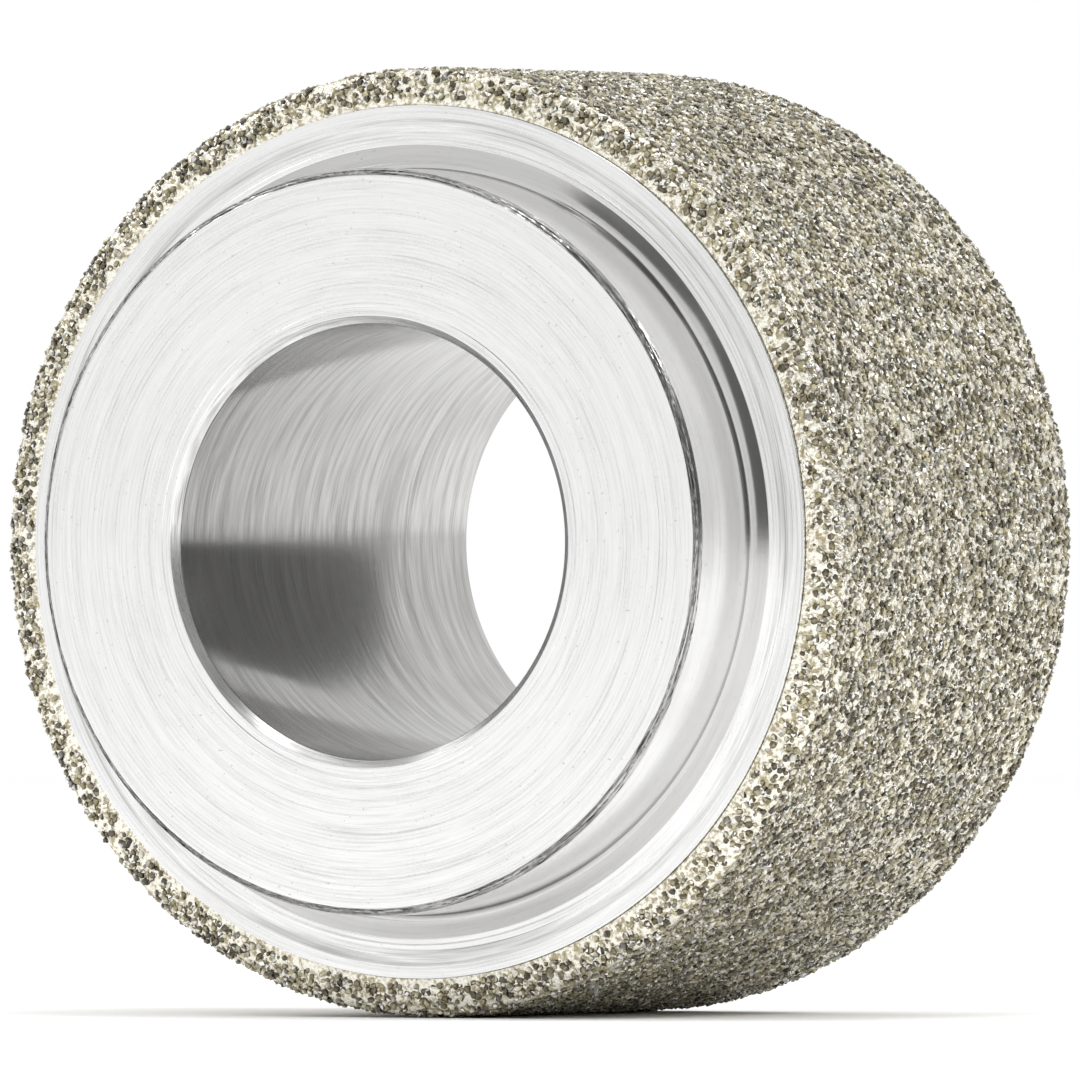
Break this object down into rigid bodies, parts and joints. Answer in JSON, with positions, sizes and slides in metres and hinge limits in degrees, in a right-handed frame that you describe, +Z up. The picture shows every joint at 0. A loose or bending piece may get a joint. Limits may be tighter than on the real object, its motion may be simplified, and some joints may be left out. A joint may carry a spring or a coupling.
{
  "type": "diamond grinding wheel",
  "caption": "Small straight grinding wheel with a turned metal core, a plain through bore, a raised boss on one face and an electroplated diamond rim.",
  "frame": {"origin": "on the wheel's axis, in the middle of its overall length", "axes": "the wheel's axis lies along Y; -Y points out of the boss that the machine's flange bears on, +Y out of the plain rear face, +Z up"},
  "size_m": [0.035, 0.0234, 0.035],
  "materials": {
    "turned_metal": "bright turned, with fine concentric tool marks",
    "strike_plate": "matt nickel first plate, buried under the bond",
    "nickel_plate": "warm satin nickel plate",
    "front_crystal": "olive and honey diamond grains, spaced apart",
    "side_crystal": "olive-grey diamond grains, closely packed",
    "rear_crystal": "olive and honey diamond grains"
  },
  "bodies": {
    "root": {"wheel_core": "turned_metal", "nickel_strike": "strike_plate", "nickel_bond": "nickel_plate", "diamond_grit_front_corner": "front_crystal", "diamond_grit_round_side": "side_crystal", "diamond_grit_rear_corner": "rear_crystal"}
  },
  "joints": []
}
